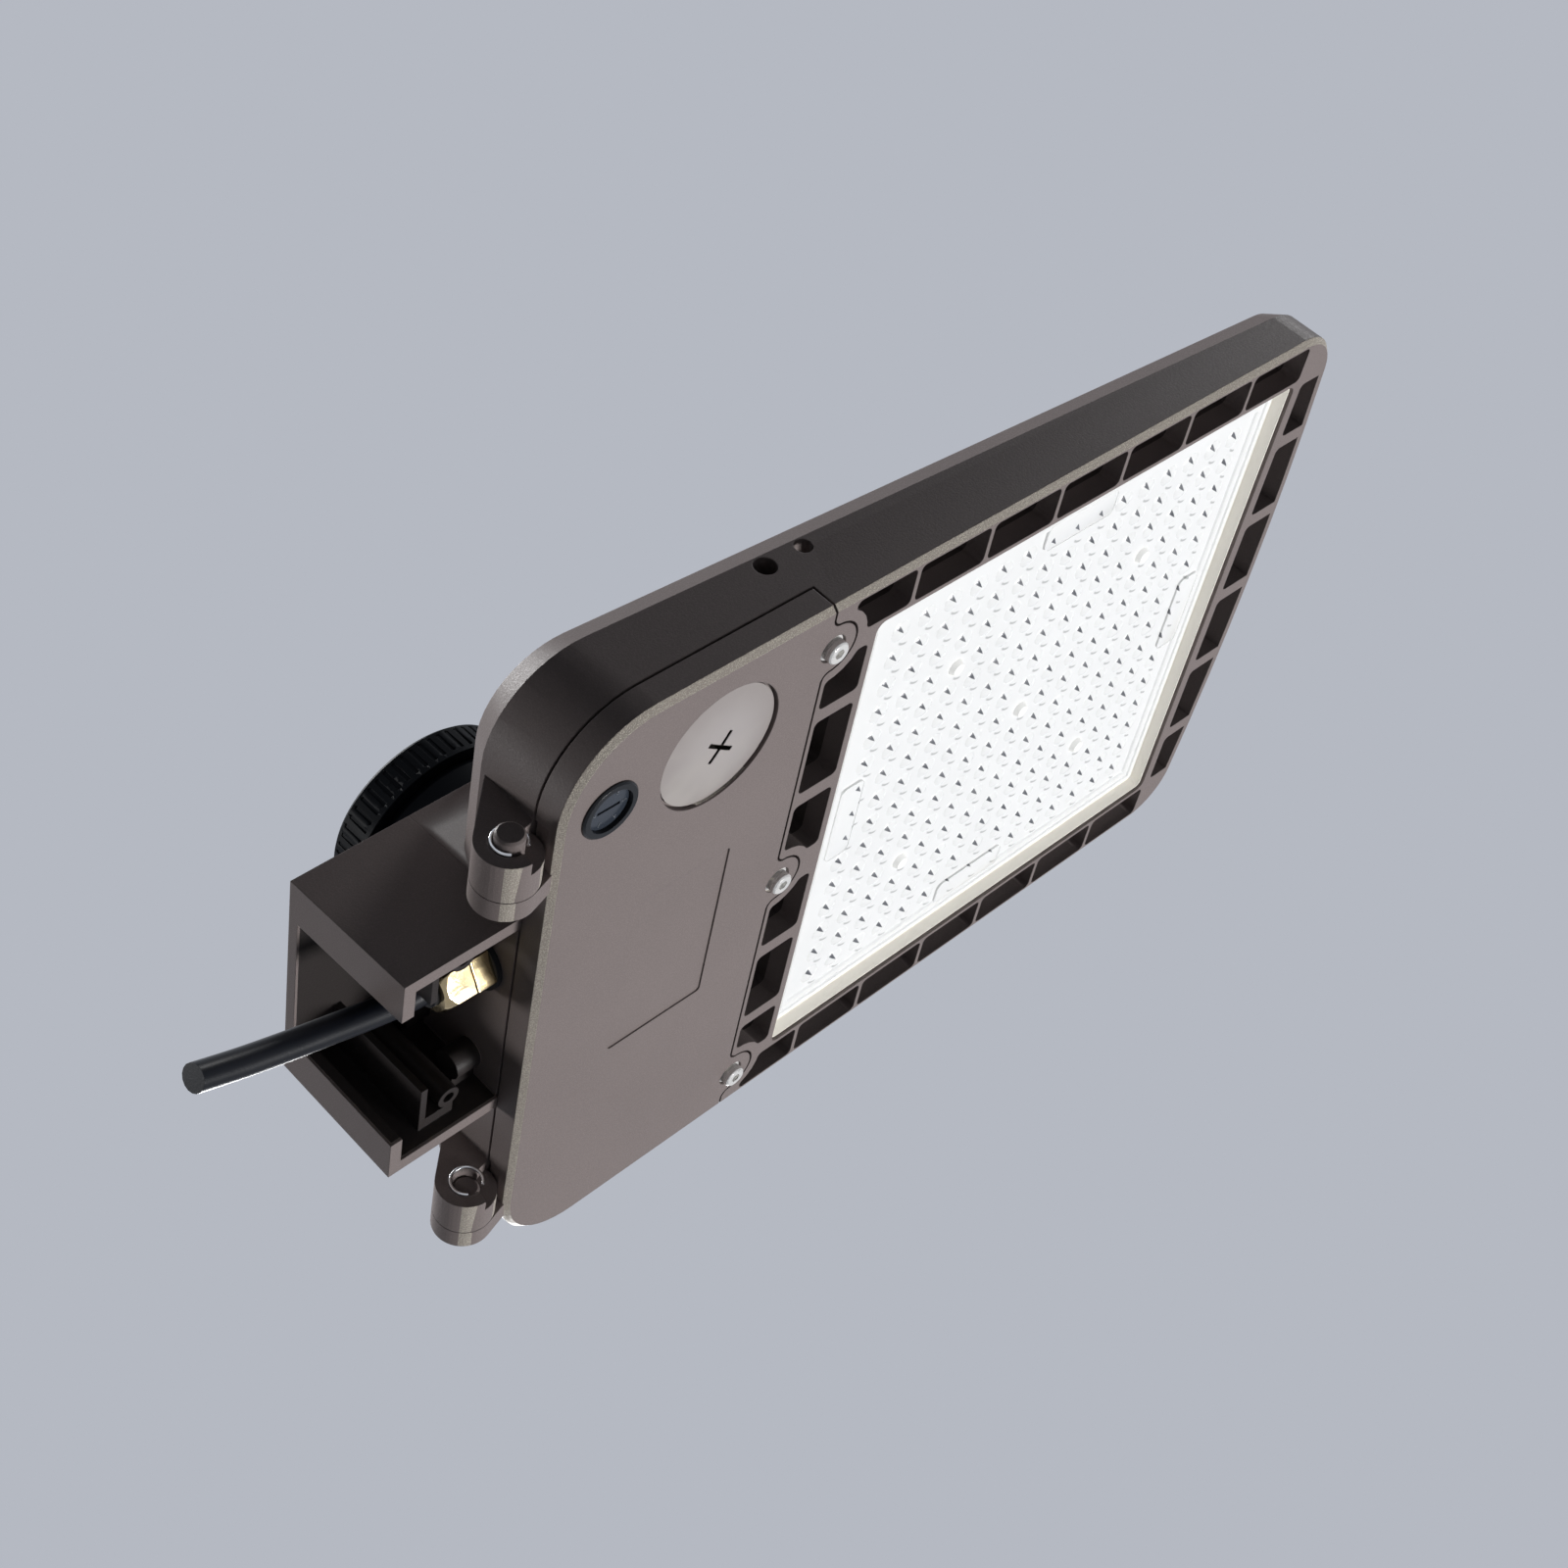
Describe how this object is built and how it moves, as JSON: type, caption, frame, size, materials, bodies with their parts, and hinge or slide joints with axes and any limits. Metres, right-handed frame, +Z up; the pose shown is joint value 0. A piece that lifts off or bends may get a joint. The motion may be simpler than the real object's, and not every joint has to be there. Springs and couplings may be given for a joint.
{
  "type": "shoebox area light",
  "caption": "Die-cast LED area light on a short pole arm: a lens plate with small domes, a border of cooling vents, a hinged access door, a cable gland and a twist-lock receptacle.",
  "frame": {"origin": "middle of the arm's end face, where it meets the pole", "axes": "+X from the pole to the nose along the body, +Y across the body, +Z up, with the lens facing -Z"},
  "size_m": [0.4918, 0.262, 0.1012],
  "materials": {
    "cast_bronze": "fine textured powder coat",
    "bronze_pin": "satin powder coat",
    "stainless": "plain stainless steel",
    "black_rubber": "matt moulded rubber",
    "pale_rubber": "matt silicone rubber",
    "cap_plastic": "satin moulded plastic",
    "dark_plastic": "satin moulded plastic",
    "black_plastic": "satin moulded plastic",
    "dial_plastic": "satin moulded plastic",
    "circuit_board": "lacquered board",
    "clear_lens": "clear moulded polycarbonate",
    "white_board": "white lacquered board",
    "driver_case": "plain sheet case",
    "surge_case": "moulded plastic case",
    "wire_red": "smooth insulation",
    "wire_grey": "smooth insulation",
    "gland_brass": "turned brass",
    "cable_jacket": "satin rubber jacket"
  },
  "bodies": {
    "body": {"housing": "cast_bronze", "mounting_arm": "cast_bronze", "arm_bolts": "stainless", "lens_plate": "clear_lens", "lens_gasket": "pale_rubber", "lens_screws": "stainless", "led_board": "white_board", "led_driver": "driver_case", "surge_protector": "surge_case", "terminal_block": "black_plastic", "component_screws": "stainless", "lead_grommet": "black_rubber", "led_leads": "wire_red", "supply_leads": "wire_grey", "gland_seal": "black_rubber", "gland_body": "gland_brass", "gland_insert": "black_rubber", "gland_nut": "gland_brass", "gland_locknut": "gland_brass", "supply_cable": "cable_jacket", "socket_gasket": "black_rubber", "twist_lock_socket": "black_plastic", "socket_contacts": "gland_brass", "socket_nut": "dark_plastic"},
    "door": {"access_door": "cast_bronze", "door_gasket": "black_rubber", "hinge_pin_left": "bronze_pin", "hinge_pin_right": "bronze_pin", "screw_washers": "stainless", "port_seal": "black_rubber", "port_nut": "dark_plastic", "selector_bezel": "black_plastic", "selector_nut": "dark_plastic", "selector_switch": "circuit_board"},
    "port": {"port_cap": "cap_plastic"},
    "dial": {"selector_dial": "dial_plastic"},
    "screw_left": {"captive_screw_left": "stainless"},
    "screw_middle": {"captive_screw_middle": "stainless"},
    "screw_right": {"captive_screw_right": "stainless"},
    "cap": {"shorting_cap": "black_plastic"}
  },
  "joints": [
    {"name": "door_hinge", "type": "hinge", "parent": "body", "child": "door", "pos_m": [0.034, 0, -0.0286], "axis": [0, 1, 0], "range_deg": [0, 95]},
    {"name": "port_cap_turn", "type": "hinge", "parent": "door", "child": "port", "pos_m": [0.1095, -0.0953, -0.0376], "axis": [0, 0, 1], "range_deg": [0, 90]},
    {"name": "selector_turn", "type": "hinge", "parent": "door", "child": "dial", "pos_m": [0.064, -0.0966, -0.0376], "axis": [0, 0, 1], "range_deg": [0, 240]},
    {"name": "captive_screw_left_slide", "type": "slide", "parent": "door", "child": "screw_left", "axis": [0, 0, -1], "range_m": [0, 0.008]},
    {"name": "captive_screw_middle_slide", "type": "slide", "parent": "door", "child": "screw_middle", "axis": [0, 0, -1], "range_m": [0, 0.008]},
    {"name": "captive_screw_right_slide", "type": "slide", "parent": "door", "child": "screw_right", "axis": [0, 0, -1], "range_m": [0, 0.008]},
    {"name": "shorting_cap_twist", "type": "hinge", "parent": "body", "child": "cap", "pos_m": [0.078, 0, 0.0469], "axis": [0, 0, 1], "range_deg": [0, 20]}
  ]
}
